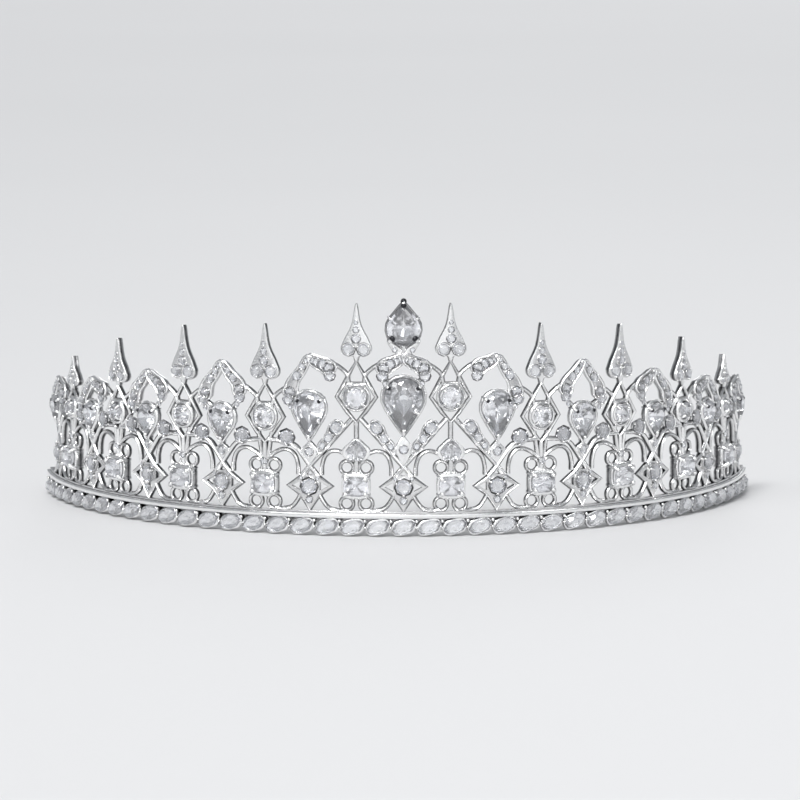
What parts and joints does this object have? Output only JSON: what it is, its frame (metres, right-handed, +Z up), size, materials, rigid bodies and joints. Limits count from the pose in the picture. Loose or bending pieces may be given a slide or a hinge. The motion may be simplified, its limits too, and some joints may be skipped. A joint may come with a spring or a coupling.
{
  "type": "tiara",
  "caption": "Openwork bridal tiara on a curved band, with pear stones under pointed arches, lozenges with slender spikes, scrolls, stars and a row of band stones.",
  "frame": {"origin": "under the middle of the outline, level with the feet of the lowest stone settings", "axes": "+X to the left of someone who wears it; +Y to the back of the head, so the decorated front faces -Y; +Z up"},
  "size_m": [0.1352, 0.0662, 0.0443],
  "materials": {
    "casting_metal": "polished silver-coloured plating",
    "band_metal": "polished silver-coloured plating",
    "clear_stone": "clear cut stone"
  },
  "bodies": {
    "root": {"arch_centre": "casting_metal", "arch_left_1": "casting_metal", "arch_left_2": "casting_metal", "arch_left_3": "casting_metal", "arch_left_4": "casting_metal", "arch_left_5": "casting_metal", "arch_right_1": "casting_metal", "arch_right_2": "casting_metal", "arch_right_3": "casting_metal", "arch_right_4": "casting_metal", "arch_right_5": "casting_metal", "band_stone_row": "casting_metal", "base_band": "band_metal", "crown_pear_setting": "casting_metal", "crown_pear_stone": "clear_stone", "drop_stone_left": "clear_stone", "drop_stone_right": "clear_stone", "end_loop_left": "band_metal", "end_loop_right": "band_metal", "pear_stone_centre": "clear_stone", "pear_stone_left_1": "clear_stone", "pear_stone_left_2": "clear_stone", "pear_stone_left_3": "clear_stone", "pear_stone_left_4": "clear_stone", "pear_stone_left_5": "clear_stone", "pear_stone_right_1": "clear_stone", "pear_stone_right_2": "clear_stone", "pear_stone_right_3": "clear_stone", "pear_stone_right_4": "clear_stone", "pear_stone_right_5": "clear_stone", "round_stone_left_1": "clear_stone", "round_stone_left_2": "clear_stone", "round_stone_left_3": "clear_stone", "round_stone_left_4": "clear_stone", "round_stone_left_5": "clear_stone", "round_stone_right_1": "clear_stone", "round_stone_right_2": "clear_stone", "round_stone_right_3": "clear_stone", "round_stone_right_4": "clear_stone", "round_stone_right_5": "clear_stone", "spire_left_1": "casting_metal", "spire_left_2": "casting_metal", "spire_left_3": "casting_metal", "spire_left_4": "casting_metal", "spire_left_5": "casting_metal", "spire_right_1": "casting_metal", "spire_right_2": "casting_metal", "spire_right_3": "casting_metal", "spire_right_4": "casting_metal", "spire_right_5": "casting_metal", "square_stone_left_1": "clear_stone", "square_stone_left_2": "clear_stone", "square_stone_left_3": "clear_stone", "square_stone_left_4": "clear_stone", "square_stone_left_5": "clear_stone", "square_stone_right_1": "clear_stone", "square_stone_right_2": "clear_stone", "square_stone_right_3": "clear_stone", "square_stone_right_4": "clear_stone", "square_stone_right_5": "clear_stone"}
  },
  "joints": []
}
